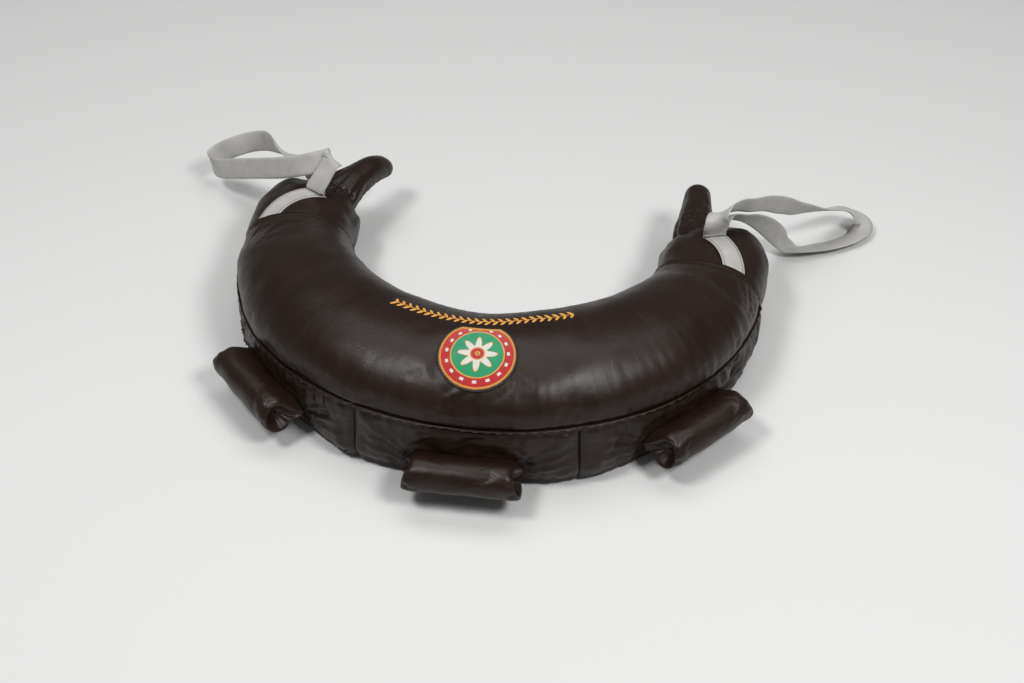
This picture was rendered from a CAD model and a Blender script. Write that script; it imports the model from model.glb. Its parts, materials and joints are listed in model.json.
# A Bulgarian bag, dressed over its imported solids: leather panels, rolls, horns, webbing and stitches.

import json
import math
from functools import partial

import bpy
import numpy as np
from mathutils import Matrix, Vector, noise
from mathutils.bvhtree import BVHTree


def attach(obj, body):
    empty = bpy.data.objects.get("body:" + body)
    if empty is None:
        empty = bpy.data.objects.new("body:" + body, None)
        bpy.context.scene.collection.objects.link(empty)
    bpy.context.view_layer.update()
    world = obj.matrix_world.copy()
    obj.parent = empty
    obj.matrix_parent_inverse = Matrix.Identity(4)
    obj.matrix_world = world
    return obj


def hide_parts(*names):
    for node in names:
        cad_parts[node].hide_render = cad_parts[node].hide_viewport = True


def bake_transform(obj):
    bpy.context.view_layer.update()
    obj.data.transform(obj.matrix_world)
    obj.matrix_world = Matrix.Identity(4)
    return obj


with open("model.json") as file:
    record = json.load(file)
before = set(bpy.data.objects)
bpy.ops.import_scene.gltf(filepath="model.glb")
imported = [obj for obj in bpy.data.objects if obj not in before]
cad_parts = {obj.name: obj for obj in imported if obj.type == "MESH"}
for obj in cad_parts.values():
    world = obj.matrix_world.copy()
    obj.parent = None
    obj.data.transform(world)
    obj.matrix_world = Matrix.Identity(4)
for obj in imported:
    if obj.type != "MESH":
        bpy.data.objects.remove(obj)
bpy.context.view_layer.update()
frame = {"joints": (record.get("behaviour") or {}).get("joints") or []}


# The floor, the lamps and the camera
# A plain pale floor under two softboxes and a broad dim one behind and above, seen from above at
# about 43 degrees, with the horns pointing away.

FLOOR_COLOUR = (0.595, 0.595, 0.59, 1)
FLOOR_SIZE = 12.0
WORLD_COLOUR = (1.0, 1.0, 0.995, 1)
WORLD_STRENGTH = 0.165
# Each lamp: name, place, aimed at, width and depth, power
LAMPS = (
    ("left_softbox", (-0.70, -0.58, 1.9), (-0.15, 0.0, 0.05), (0.52, 0.38), 21.0),
    ("right_softbox", (1.20, -0.66, 1.9), (0.15, 0.05, 0.05), (0.66, 0.46), 31.0),
    ("top_softbox", (0.0, 0.75, 2.3), (0.0, 0.1, 0.0), (3.0, 1.0), 25.0),
)
CAMERA_PLACE = (0.2372, -1.0046, 1.0912)
CAMERA_TARGET = (0.0244, 0.1458, 0.0)
CAMERA_LENS = 50


def fill(tree, made, inputs):
    """Gives the inputs of a node their values or links."""
    for key, value in inputs.items():
        if isinstance(value, bpy.types.NodeSocket):
            tree.links.new(value, made.inputs[key])
        else:
            made.inputs[key].default_value = value


def adder(tree):
    """A function that adds a node to a tree, with its settings and its inputs."""
    def add(kind, inputs=None, **settings):
        made = tree.nodes.new(kind)
        for key, value in settings.items():
            setattr(made, key, value)
        fill(tree, made, inputs or {})
        return made

    return add


def material(name):
    """A new material, a function that adds nodes to it, and one that fills its shader's inputs."""
    finish = bpy.data.materials.new(name)
    finish.use_nodes = True
    tree = finish.node_tree
    return finish, adder(tree), partial(fill, tree, tree.nodes["Principled BSDF"])


def aimed(name, data, place, target):
    """A lamp or a camera at its place, turned towards its target."""
    thing = bpy.data.objects.new(name, data)
    thing.location = place
    thing.rotation_euler = (Vector(target) - Vector(place)).to_track_quat("-Z", "Y").to_euler()
    bpy.context.scene.collection.objects.link(thing)
    return thing


bpy.context.scene.view_settings.view_transform = "Standard"
bpy.ops.mesh.primitive_plane_add(size=FLOOR_SIZE, location=(0, 0, 0))
floor = bpy.context.object
floor.name = "floor"
floor_paint, _, coat = material("floor_paint")
coat({"Base Color": FLOOR_COLOUR, "Roughness": 0.9, "Specular IOR Level": 0.1})
floor.data.materials.append(floor_paint)

world = bpy.data.worlds.new("studio")
world.use_nodes = True
light = {"Color": WORLD_COLOUR, "Strength": WORLD_STRENGTH}
fill(world.node_tree, world.node_tree.nodes["Background"], light)
bpy.context.scene.world = world

for name, place, target, (width, depth), watts in LAMPS:
    lamp = bpy.data.lights.new(name, "AREA")
    lamp.shape = "RECTANGLE"
    lamp.size, lamp.size_y = width, depth
    lamp.energy = watts
    aimed(name, lamp, place, target)

camera = bpy.data.cameras.new("camera")
camera.lens = CAMERA_LENS
camera.sensor_width = 36
bpy.context.scene.camera = aimed("camera", camera, CAMERA_PLACE, CAMERA_TARGET)


# The leather skin of the body
# One crescent tube of cowhide, 590 mm across: a domed top panel, a flat bottom panel and two side
# bands, each cut in three. It is packed hard with wool and sand, so it lies smooth and domed.

ARC_RADIUS = 0.236
ARC_TURN = math.radians(80.5)
CUFF_ARC_RADIUS = 0.150
CUFF_ARC_TURN = math.radians(32.0)
HALF_WIDTH = 0.075
TUBE_HEIGHT = 0.138
BAND_BULGE = 0.003
BOTTOM_EDGE_RISE = 0.005
HIDE = 0.0022
HALF_WIDTH_SHARES = (
    (0.0, 1.0), (0.22, 1.01), (0.43, 0.985), (0.63, 0.91), (0.80, 0.815),
    (0.88, 0.80), (0.94, 0.775), (0.975, 0.73), (1.0, 0.66),
)
CROWN_SHARES = (
    (0.0, 1.0), (0.22, 1.0), (0.43, 0.965), (0.63, 0.89), (0.80, 0.765),
    (0.88, 0.755), (0.94, 0.735), (0.975, 0.705), (1.0, 0.665),
)
SEAM_HEIGHT_SHARES = ((0.0, 0.61), (0.22, 0.59), (0.43, 0.535), (0.63, 0.49), (0.80, 0.455), (1.0, 0.42))
CROWN_POWER = 2.15
BOTTOM_WIDTH_SHARE = 0.95
BOTTOM_FLAT_SHARE = 0.80
OUTER_SEAM_TURNS = (math.radians(-18.5), math.radians(24.3))
INNER_SEAM_TURNS = (math.radians(-48.5), math.radians(48.5))
SEAM_PLACE = ARC_RADIUS * ARC_TURN
HALF_LENGTH = SEAM_PLACE + CUFF_ARC_RADIUS * CUFF_ARC_TURN
COLUMN_STEP = 0.0025
SEAM_GAP = 0.0003
STITCH_PITCH = 0.0115
# The hides as cloth: the filling's pressure, and how far from a seam the stitches hold them
CLOTH_FRAMES = 20
CLOTH_PRESSURE = 4.0
SEAM_HOLD = 0.005
SEAM_HOLD_FADE = 0.004
LEATHER_DARK = (0.0100, 0.0046, 0.0028, 1)
LEATHER_LIGHT = (0.0165, 0.0083, 0.0055, 1)
# Every hide that a seam, a patch or a strap lies on, for finding its surface
LAID_HIDES = []
LAY_FROM, LAY_REACH = 0.012, 0.03


def eased(values, slopes, k, span, t):
    """Values between known ones, on cubic steps that keep the slopes at both ends."""
    return (
        (2 * t**3 - 3 * t**2 + 1) * values[k]
        + (t**3 - 2 * t**2 + t) * span * slopes[k]
        + (3 * t**2 - 2 * t**3) * values[k + 1]
        + (t**3 - t**2) * span * slopes[k + 1]
    )


def smooth_share(table, share):
    """A table of (place, share) pairs, smoothly read at many places."""
    places, values = np.array(table).T
    slopes = np.empty_like(values)
    slopes[1:-1] = (values[2:] - values[:-2]) / (places[2:] - places[:-2])
    slopes[0] = (values[1] - values[0]) / (places[1] - places[0])
    slopes[-1] = (values[-1] - values[-2]) / (places[-1] - places[-2])
    share = np.clip(share, places[0], places[-1])
    k = np.clip(np.searchsorted(places, share, side="right") - 1, 0, len(places) - 2)
    span = places[k + 1] - places[k]
    return eased(values, slopes, k, span, (share - places[k]) / span)


def middle(place):
    """Points of the crescent's middle line, and the ways along it and outward."""
    place = np.asarray(place, float)
    side = np.where(place < 0, -1.0, 1.0)
    turn = np.minimum(np.abs(place) / ARC_RADIUS, ARC_TURN)
    tight = np.maximum(np.abs(place) - SEAM_PLACE, 0) / CUFF_ARC_RADIUS
    x = ARC_RADIUS * np.sin(turn) + CUFF_ARC_RADIUS * (np.sin(turn + tight) - np.sin(turn))
    y = ARC_RADIUS * (1 - np.cos(turn)) + CUFF_ARC_RADIUS * (np.cos(turn) - np.cos(turn + tight))
    turn = turn + tight
    level = np.zeros_like(turn)
    point = np.stack([side * x, y, level], -1)
    along = np.stack([np.cos(turn), side * np.sin(turn), level], -1)
    outward = np.stack([side * np.sin(turn), -np.cos(turn), level], -1)
    return point, along, outward


def at(place, out, up):
    """Points beside the middle line: out from it, and up from the floor."""
    place, out, up = np.broadcast_arrays(place, out, up)
    point, _, outward = middle(place)
    spot = point + outward * out[..., None]
    spot[..., 2] += up
    return spot


def sizes(place):
    """Half width, crown height and seam height of the tube."""
    share = np.abs(place) / HALF_LENGTH
    return (
        HALF_WIDTH * smooth_share(HALF_WIDTH_SHARES, share),
        TUBE_HEIGHT * smooth_share(CROWN_SHARES, share),
        TUBE_HEIGHT * smooth_share(SEAM_HEIGHT_SHARES, share),
    )


def power(value, exponent):
    return np.copysign(np.abs(value) ** exponent, value)


def bell(distance, reach):
    return np.exp(-((distance / reach) ** 2))


def crown_point(place, angle, inset=0.0):
    """(out, up) on the crown; the angle runs from 0 at the outer seam to pi at the inner seam."""
    width, height, seam = sizes(place)
    out = (width - inset) * power(np.cos(angle), 2 / CROWN_POWER)
    up = seam + (height - seam - inset) * power(np.sin(angle), 2 / CROWN_POWER)
    return out, up


def skin_point(place, lap):
    """The skin's places. The lap runs round the tube from the outer seam: 0 to 1 is the crown,
    1 to 2 the inner band, 2 to 3 the bottom and 3 to 4 the outer band."""
    width, _, seam = sizes(place)
    lap = np.where(lap < 0, lap + 4, lap)
    out, up = crown_point(place, np.clip(lap, 0, 1) * math.pi)
    low = width * BOTTOM_WIDTH_SHARE
    share = np.where(lap < 2.5, 2 - lap, lap - 3)
    band_out = low + (width - low) * share + BAND_BULGE * np.sin(math.pi * np.clip(share, 0, 1))
    band_up = BOTTOM_EDGE_RISE + (seam - BOTTOM_EDGE_RISE) * share
    across = 2 * (lap - 2.5)
    turn_up = np.maximum(0, np.abs(across) - BOTTOM_FLAT_SHARE) / (1 - BOTTOM_FLAT_SHARE)
    stretches = (
        (lap > 1, -band_out, band_up), (lap > 2, low * across, BOTTOM_EDGE_RISE * turn_up**2),
        (lap > 3, band_out, band_up),
    )
    for there, next_out, next_up in stretches:
        out, up = np.where(there, next_out, out), np.where(there, next_up, up)
    return at(place, out, up)


def normals_of(grid, closed=False):
    """Unit normals of a grid of points, by its two directions."""
    if closed:
        padded = np.concatenate([grid[:, -1:], grid, grid[:, :1]], 1)
        across = np.gradient(padded, axis=1)[:, 1:-1]
    else:
        across = np.gradient(grid, axis=1)
    along = np.gradient(grid, axis=0)
    normal = np.cross(along, across)
    return normal / np.maximum(np.linalg.norm(normal, axis=-1, keepdims=True), 1e-12)


def clustered(first, last, count, pull=0.7):
    """Evenly spaced values, drawn closer together near both ends."""
    t = np.linspace(0, 1, count)
    return first + (last - first) * (t - pull * np.sin(2 * math.pi * t) / (2 * math.pi))


def places_between(first, last, step=COLUMN_STEP):
    return np.linspace(first, last, round(abs(last - first) / step) + 1)


def skin_grid(places, laps):
    """The places along the crescent and the points of the skin, over a range of places and laps."""
    place, lap = np.meshgrid(places, laps, indexing="ij")
    return place, skin_point(place, lap)


def walked(grid, axis):
    """Distances walked along a grid's rows or columns."""
    steps = np.linalg.norm(np.diff(grid, axis=axis), axis=-1)
    start = np.zeros_like(np.take(grid[..., 0], [0], axis=axis))
    return np.concatenate([start, np.cumsum(steps, axis=axis)], axis)


def lumps(grid, scale, seed=0.0):
    """Smooth noise at each point of a grid, between about -1 and 1."""
    flat = grid.reshape(-1, 3) * scale + seed
    return np.array([noise.noise(Vector(p)) for p in flat]).reshape(grid.shape[:-1]) * 2


def mesh_piece(name, points, faces, finish, uv=None):
    """An object from points and faces, smooth shaded, with a map in metres where one is given."""
    mesh = bpy.data.meshes.new(name)
    mesh.from_pydata(points.tolist(), [], faces)
    if finish:
        mesh.materials.append(finish)
    if uv is not None:
        layer = mesh.uv_layers.new(name="surface")
        corners = np.empty(len(mesh.loops), np.int32)
        mesh.loops.foreach_get("vertex_index", corners)
        layer.data.foreach_set("uv", np.asarray(uv, np.float32)[corners].ravel())
    mesh.shade_smooth()
    piece = bpy.data.objects.new(name, mesh)
    bpy.context.scene.collection.objects.link(piece)
    return piece


def dress(piece, body, replaced, seat=None):
    """What a piece moves with, the solid that it replaces and what it is made of.

    A seat is the stretch over which a piece bends between the bag and its own body."""
    if seat:
        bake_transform(piece)
    else:
        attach(piece, body)
    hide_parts(replaced)


def grid_faces(rows, columns, closed=False, start=0):
    """The four-sided faces between a grid's points."""
    k = np.arange(rows * columns).reshape(rows, columns) + start
    if closed:
        k = np.concatenate([k, k[:, :1]], 1)
    return np.stack([k[:-1, :-1], k[1:, :-1], k[1:, 1:], k[:-1, 1:]], -1).reshape(-1, 4)


def hide_piece(name, grid, finish, uv, thickness=HIDE, closed=False):
    """A panel or a tube of hide: the outer grid, the inner grid at its thickness, and the cut edges."""
    rows, columns = grid.shape[:2]
    inner = grid - normals_of(grid, closed) * thickness
    count = rows * columns
    faces = [grid_faces(rows, columns, closed), grid_faces(rows, columns, closed, count)[:, ::-1]]
    k = np.arange(count).reshape(rows, columns)
    edges = [(k[0], True), (k[-1], False)]
    if not closed:
        edges += [(k[:, 0], False), (k[:, -1], True)]
    for edge, turned in edges:
        first, last = (edge, np.roll(edge, -1)) if closed else (edge[:-1], edge[1:])
        rim = np.stack([first, last, last + count, first + count], -1)
        faces.append(rim if turned else rim[:, ::-1])
    points = np.concatenate([grid.reshape(-1, 3), inner.reshape(-1, 3)])
    both = np.concatenate([uv.reshape(-1, 2)] * 2)
    return mesh_piece(name, points, np.concatenate(faces).tolist(), finish, both)


def every_second(count):
    """The numbers of every second row of a grid, with the last."""
    return np.unique(np.append(np.arange(0, count, 2), count - 1))


def filled_in(values, kept, count):
    """Values known at some rows of a grid, filled in smoothly to all its rows."""
    slopes = np.gradient(values, kept, axis=0)
    rows = np.arange(count)
    k = np.clip(np.searchsorted(kept, rows, side="right") - 1, 0, len(kept) - 2)
    span = (kept[k + 1] - kept[k])[:, None, None].astype(float)
    return eased(values, slopes, k, span, (rows - kept[k])[:, None, None] / span)


def pressed_out(grid, held, swell, closed):
    """A sheet's points after the filling has pressed on it: cloth that is held at its seams."""
    sheet = mesh_piece("cut_hide", grid.reshape(-1, 3), grid_faces(*grid.shape[:2], closed).tolist(), None)
    seams = sheet.vertex_groups.new(name="seams")
    for index, hold in enumerate(held.ravel().tolist()):
        seams.add([index], hold, "REPLACE")
    cloth = sheet.modifiers.new("cloth", "CLOTH")
    hide = cloth.settings
    hide.quality = 5
    hide.mass = 0.4
    hide.tension_stiffness = hide.compression_stiffness = 30
    hide.shear_stiffness = 8
    hide.bending_stiffness = 0.4
    hide.use_pressure = True
    hide.uniform_pressure_force = CLOTH_PRESSURE
    hide.shrink_min = hide.shrink_max = -swell
    hide.vertex_group_mass = "seams"
    hide.effector_weights.gravity = 0
    cloth.point_cache.frame_start = 1
    cloth.point_cache.frame_end = CLOTH_FRAMES
    for step in range(1, CLOTH_FRAMES + 1):
        bpy.context.scene.frame_set(step)
    pressed = sheet.evaluated_get(bpy.context.evaluated_depsgraph_get())
    places = np.empty(grid.size, np.float32)
    pressed.data.vertices.foreach_get("co", places)
    bpy.context.scene.frame_set(1)
    bpy.data.objects.remove(sheet)
    return places.reshape(grid.shape).astype(float)


def settled(fine_grid, held, swell, most, closed=False):
    """A hide after the filling has pressed it out, moved by no more than the most.

    The hold runs from 0 to 1 at each point. The swell is how much larger the hide is cut than its
    place. The cloth has every second row and column of the grid, and the rest is filled in."""
    height, width = fine_grid.shape[:2]
    rows = every_second(height)
    columns = np.arange(0, width, 2) if closed else every_second(width)
    grid, held = fine_grid[rows][:, columns], held[rows][:, columns]
    move = pressed_out(grid, held, swell, closed) - grid
    length = np.linalg.norm(move, axis=-1, keepdims=True)
    move = move * most * np.tanh(length / most) / np.maximum(length, 1e-9)
    if closed:
        move = np.concatenate([move, move[:, :1]], 1)
        columns = np.append(columns, width)
    move = filled_in(move, rows, height)
    move = filled_in(move.swapaxes(0, 1), columns, columns[-1] + 1).swapaxes(0, 1)
    return fine_grid + move[:, :width]


def keep_hide(piece):
    """Remembers a finished hide, so that later pieces can be laid on it."""
    points = [v.co.copy() for v in piece.data.vertices]
    LAID_HIDES.append(BVHTree.FromPolygons(points, [list(f.vertices) for f in piece.data.polygons]))


def laid(points, ways, lift):
    """Points dropped along their ways on to the nearest hide, and lifted off it a little."""
    spots = []
    for point, way in zip(points, ways):
        start = Vector(point + way * LAY_FROM)
        hits = [tree.ray_cast(start, -Vector(way), LAY_REACH) for tree in LAID_HIDES]
        reached = [hit[3] for hit in hits if hit[0] is not None]
        spots.append(np.array(start) - way * ((min(reached) if reached else LAY_FROM) - lift))
    return np.array(spots)


def noisy(add, place, scale, detail=2.0, roughness=0.5, distortion=0.0):
    """Noise between 0 and 1 over a material."""
    return add("ShaderNodeTexNoise", {
        "Vector": place, "Scale": scale, "Detail": detail, "Roughness": roughness, "Distortion": distortion,
    }).outputs[0]


def shaded(add, share, dark, light, first=0.0, last=1.0):
    """A colour that goes from dark to light as a share goes from first to last."""
    ramp = add("ShaderNodeValToRGB", {0: share})
    stops = ramp.color_ramp.elements
    stops[0].position, stops[1].position = first, last
    stops[0].color, stops[1].color = dark, light
    return ramp.outputs[0]


def bumped(add, height, strength, depth, under=None):
    """Relief on a surface, or on top of another relief."""
    inputs = {"Strength": strength, "Distance": depth, "Height": height}
    if under is not None:
        inputs["Normal"] = under
    return add("ShaderNodeBump", inputs).outputs[0]


def leather(name):
    """Smooth cowhide: faint blotches, streaks where it was stretched over the tube, and a fine grain."""
    finish, add, coat = material(name)
    place = add("ShaderNodeTexCoord").outputs["Object"]
    surface = add("ShaderNodeUVMap", uv_map="surface").outputs["UV"]
    stretched = add("ShaderNodeMapping", {"Vector": surface, "Scale": (95.0, 9.0, 1.0)}).outputs[0]
    streaks = noisy(add, stretched, 1.0, 4.0, 0.65, 0.6)
    blotches = noisy(add, place, 16.0, 6.0, 0.6)
    pores = noisy(add, place, 420.0, 3.0)
    creases = noisy(add, place, 70.0, 5.0, 0.55, 1.4)
    cells = add("ShaderNodeTexVoronoi", {"Vector": place, "Scale": 950.0}, feature="DISTANCE_TO_EDGE")
    grain = add("ShaderNodeMapRange", {0: cells.outputs["Distance"], 2: 0.12}).outputs[0]
    tone = add("ShaderNodeMix", {0: 0.45, "A": blotches, "B": streaks}).outputs[0]
    relief = None
    for height, strength, depth in (
        (grain, 0.10, 0.0003), (pores, 0.10, 0.0005), (creases, 0.16, 0.0016), (streaks, 0.13, 0.0010),
    ):
        relief = bumped(add, height, strength, depth, relief)
    coat({
        "Base Color": shaded(add, tone, LEATHER_DARK, LEATHER_LIGHT, 0.35, 0.66),
        "Roughness": add("ShaderNodeMapRange", {0: streaks, 1: 0.3, 2: 0.7, 3: 0.33, 4: 0.41}).outputs[0],
        "Specular IOR Level": 0.27,
        "Normal": relief,
    })
    return finish


COWHIDE = leather("cowhide")


# The top panel
# A domed crescent of one hide, drawn over the filling. Its edges roll down into the seams,
# with small puckers across the outer seam, most on the right.

TOP_ROWS = 104
TOP_SWELL, TOP_MOST = 0.003, 0.0035
# The edge of the hide inside the seams, in laps past them
ALLOWANCE_LAPS = np.array((0.012, 0.03, 0.06, 0.10))
TUCK, TUCK_REACH = 0.0020, 0.0028
# The patch's middle: along the crescent, and up from the outer seam; the hide is calm under it
PATCH_PLACE = ARC_RADIUS * math.radians(4.7)
PATCH_FROM_SEAM = 0.068
PATCH_CALM = 0.036
# Puckers: height and reach at the outer seam, then at the inner one, and the flat strip at each
PUCKER_HEIGHT, PUCKER_REACH = 0.0011, 0.022
INNER_PUCKER_HEIGHT, INNER_PUCKER_REACH = 0.0006, 0.020
PUCKER_CLEAR = 0.008
# How strongly the outer seam puckers: (distance along the crescent, share)
PUCKER_SHARES = (
    (-0.33, 0.5), (-0.22, 0.25), (-0.10, 0.25), (0.0, 0.5), (0.06, 1.6), (0.09, 1.0),
    (0.14, 0.9), (0.20, 1.1), (0.27, 0.8), (0.33, 0.5),
)


def puckers(place, distance, reach, seed):
    """Short folds that run in from a seam and fade with the distance from it."""
    wobble = 0.35 * np.sin(place * 61.0 + seed) + 0.25 * np.sin(place * 143.0 + 2 * seed)
    lean = distance * 14.0 * np.sin(place * 17.0 + seed)
    wave = np.sin(2 * math.pi * place / 0.0125 + 4 * wobble + lean)
    wave += 0.6 * np.sin(2 * math.pi * place / 0.0205 - 5 * wobble + seed)
    return wave * np.exp(-distance / reach)


top_end = SEAM_PLACE - SEAM_GAP / 2
laps = np.concatenate([-ALLOWANCE_LAPS[::-1], clustered(0.0, 1.0, TOP_ROWS), 1 + ALLOWANCE_LAPS])
place, grid = skin_grid(places_between(-top_end, top_end), laps)
inside = len(ALLOWANCE_LAPS)
down = walked(grid, 1)
down -= down[:, inside:inside + 1]
from_inner = down[:, -inside - 1:-inside] - down
ends = top_end - np.abs(place)
strength = smooth_share(PUCKER_SHARES, place)
shift = PUCKER_HEIGHT * strength * puckers(place, down, PUCKER_REACH, 0.4) * (1 - bell(down, PUCKER_CLEAR))
inner_puckers = puckers(place, from_inner, INNER_PUCKER_REACH, 2.1)
shift += INNER_PUCKER_HEIGHT * inner_puckers * (1 - bell(from_inner, PUCKER_CLEAR))
shift += 0.0010 * lumps(grid, 14.0) + 0.0005 * lumps(grid, 34.0, 5.0)
edge = np.minimum(down, from_inner)
shift = np.where(edge > 0, shift, 0) - TUCK * bell(np.maximum(edge, 0), TUCK_REACH) - 0.0004 * (edge < 0)
shift += 0.0012 * bell(ends, 0.0025) - 0.0008 * bell(ends - 0.007, 0.004)
patch_far = np.hypot((place - PATCH_PLACE) * 1.15, down - PATCH_FROM_SEAM)
calm = np.clip((patch_far - PATCH_CALM) / 0.012, 0.25, 1)
by_seam = bell(np.maximum(np.minimum(edge, ends) - SEAM_HOLD, 0), SEAM_HOLD_FADE)
held = np.maximum.reduce([by_seam, 0.5 * bell(patch_far, PATCH_CALM), 0.02 * np.ones_like(edge)])
held[edge <= 0.0005] = held[[0, -1]] = 1
grid = settled(grid, held, TOP_SWELL, TOP_MOST)
grid = grid + normals_of(grid) * (shift * calm)[..., None]
top_panel = hide_piece("top_panel_hide", grid, COWHIDE, np.stack([place, down], -1))
keep_hide(top_panel)
dress(top_panel, "bag", "top_panel")


# The side bands
# Two upright bands, each sewn from three lengths. The upper edge of each stands out as a thin lip
# under the top panel, and the grips pull the outer band into folds.

BAND_ROWS = 56
BAND_SWELL, BAND_MOST = 0.016, 0.0045
TURN_IN_DEPTHS = (0.0022, 0.0055)
# Where the outer band bulges over the floor, and how far
FLOOR_BULGES = ((-0.085, 0.007), (0.105, 0.007))
LIP, LIP_REACH, LIP_NOTCH = 0.0017, 0.0017, 0.0004
SIDE_TUCK, SIDE_TUCK_REACH = 0.0022, 0.0026
# The fine upright folds near the ends of the outer band: where they start, their pitch and height
END_FOLDS_FROM, END_FOLD_PITCH, END_FOLD_HEIGHT = 0.28, 0.009, 0.0016
GRIP_LENGTH = 0.112
GRIP_HALF = GRIP_LENGTH / 2
GRIP_NEAR = 0.06
# How far a grip's seam pulls the band out, and how far it lies back behind the roll
GRIP_PULL, GRIP_HOLLOW = 0.0036, 0.0030
# The hollow behind a roll: its middle under the hinge, and half its height
HOLLOW_DROP, HOLLOW_HALF = 0.021, 0.014
# The pleats beyond each end of a grip: where they start, their slope, pitch, reach and height
PLEAT_START = (-0.002, -0.016)
PLEAT_SLOPE = math.radians(20.0)
PLEAT_PITCH, PLEAT_REACH, PLEAT_HEIGHT = 0.0140, 0.046, 0.0026
# Each grip's hinge, and the ways along it and outward
GRIPS = {}
for joint in frame["joints"]:
    if joint["name"].startswith("grip_"):
        x, y, _ = joint["axis"]
        ways = [np.array(Vector(way).normalized()) for way in ((-x, -y, 0), (-y, x, 0))]
        GRIPS[joint["child"]] = (np.array(Vector(joint["pos_m"])), *ways)


def seen_from_grips(grid):
    """For each grip: its hinge, how far points lie past its ends and above it, and how near they are."""
    for hinge, along, outward in GRIPS.values():
        offset = grid - hinge
        yield hinge, np.abs(offset @ along) - GRIP_HALF, offset[..., 2], bell(offset @ outward, GRIP_NEAR)


def grip_pull(grid):
    """How far the grips pull the band out, with the pleats that run from the ends of their seams."""
    pull = np.zeros(grid.shape[:2])
    for hinge, past, rise, near in seen_from_grips(grid):
        ridge = np.where(rise > 0, np.exp(-rise / 0.013), np.exp(rise / 0.009))
        pull += near * GRIP_PULL * ridge * bell(np.maximum(past, 0), 0.010)
        beyond, above = past - PLEAT_START[0], rise - PLEAT_START[1]
        away = beyond * math.cos(PLEAT_SLOPE) + above * math.sin(PLEAT_SLOPE)
        aside = above * math.cos(PLEAT_SLOPE) - beyond * math.sin(PLEAT_SLOPE)
        aside = aside / (0.6 + 8.0 * np.maximum(away, 0)) + 0.0012 * np.sin(away * 90 + 50 * hinge[0])
        ridges = 1 - 2 * np.abs(np.sin(math.pi * aside / PLEAT_PITCH))
        rising = np.clip(away / 0.008, 0, 1) * np.exp(-((away / PLEAT_REACH) ** 4))
        pull += near * PLEAT_HEIGHT * ridges * rising * bell(aside, 0.017)
    return pull


def turned_in(hide, axis, end):
    """A hide's points, normals and map, with the edge at one end of an axis turned in under it."""
    edge, normal, uv = (np.take(part, [end], axis) for part in hide)
    added = [[edge - normal * depth, normal, uv] for depth in TURN_IN_DEPTHS]
    parts = [hide, *added] if end else [*added[::-1], hide]
    return [np.concatenate(part, axis) for part in zip(*parts)]


def make_band(kind, where, first, last, laps):
    """One length of a band, with its laps running up the outer band and down the inner one."""
    outer = kind == "outer"
    place, grid = skin_grid(places_between(first + SEAM_GAP / 2, last - SEAM_GAP / 2), laps)
    down = walked(grid, 1)
    below, above = down, down[:, -1:] - down
    if not outer:
        below, above = above, below
    side = np.minimum(place - first, last - place)
    shift = 0.0009 * lumps(grid, 24.0, 3.0) + 0.0005 * lumps(grid, 60.0, 8.0)
    shift += 0.0010 * puckers(place, above, 0.012, 1.3) + 0.0003 * puckers(place, below, 0.016, 3.3)
    shift *= 1 - bell(np.minimum(above, side), 0.006)
    by_seam = np.minimum.reduce([below, above, side])
    held = bell(np.maximum(by_seam - SEAM_HOLD, 0), SEAM_HOLD_FADE)
    held[[0, -1]] = held[:, [0, -1]] = 1
    behind = np.zeros_like(down)
    if outer:
        for _, past, rise, near in seen_from_grips(grid):
            past = np.maximum(past, 0)
            held = np.maximum(held, bell(past, 0.004) * bell(rise, 0.005) * near)
            off_roll = np.maximum(np.abs(rise + HOLLOW_DROP) - HOLLOW_HALF, 0)
            behind = np.maximum(behind, bell(past, 0.006) * bell(off_roll, 0.005) * near)
    held = np.maximum.reduce([held, 0.9 * behind, np.full_like(held, 0.01)])
    grid = settled(grid, held, BAND_SWELL, BAND_MOST)
    normal = normals_of(grid)
    if outer:
        for spot, bulge in FLOOR_BULGES:
            shift += bulge * bell(place - spot, 0.030) * bell(down - 0.016, 0.020)
        shift += grip_pull(grid)
        fine = END_FOLD_HEIGHT * np.clip((np.abs(place) - END_FOLDS_FROM) / 0.03, 0, 1)
        shift += fine * np.sin(2 * math.pi * place / END_FOLD_PITCH) * (0.6 + 0.4 * np.sin(down * 60))
        shift = shift * (1 - behind) - GRIP_HOLLOW * behind
    notch = 0.5 + 0.5 * np.cos(2 * math.pi * place / STITCH_PITCH)
    shift += (LIP - LIP_NOTCH * notch) * bell(above, LIP_REACH) - 0.0012 * bell(above - 0.005, 0.003)
    shift += 0.0010 * bell(below, LIP_REACH)
    shift -= SIDE_TUCK * bell(side, SIDE_TUCK_REACH)
    hide = [grid + normal * shift[..., None], normal, np.stack([place, down], -1)]
    for axis, end in ((0, 0), (0, -1), (1, -1 if outer else 0)):
        hide = turned_in(hide, axis, end)
    band = hide_piece(f"{kind}_band_hide_{where}", hide[0], COWHIDE, hide[2])
    keep_hide(band)
    dress(band, "bag", f"{kind}_band_{where}")


OUTER_SEAMS = (-top_end, *(ARC_RADIUS * turn for turn in OUTER_SEAM_TURNS), top_end)
INNER_SEAMS = (-top_end, *(ARC_RADIUS * turn for turn in INNER_SEAM_TURNS), top_end)
for k, where in enumerate(("left", "centre", "right")):
    for kind, seams, laps in (("outer", OUTER_SEAMS, (3.03, 3.995)), ("inner", INNER_SEAMS, (1.005, 1.97))):
        make_band(kind, where, seams[k], seams[k + 1], clustered(*laps, BAND_ROWS, 0.6))


# The bottom panel
# A flat crescent that the bag lies on, with its edges turned up a little to meet the bands.

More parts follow.
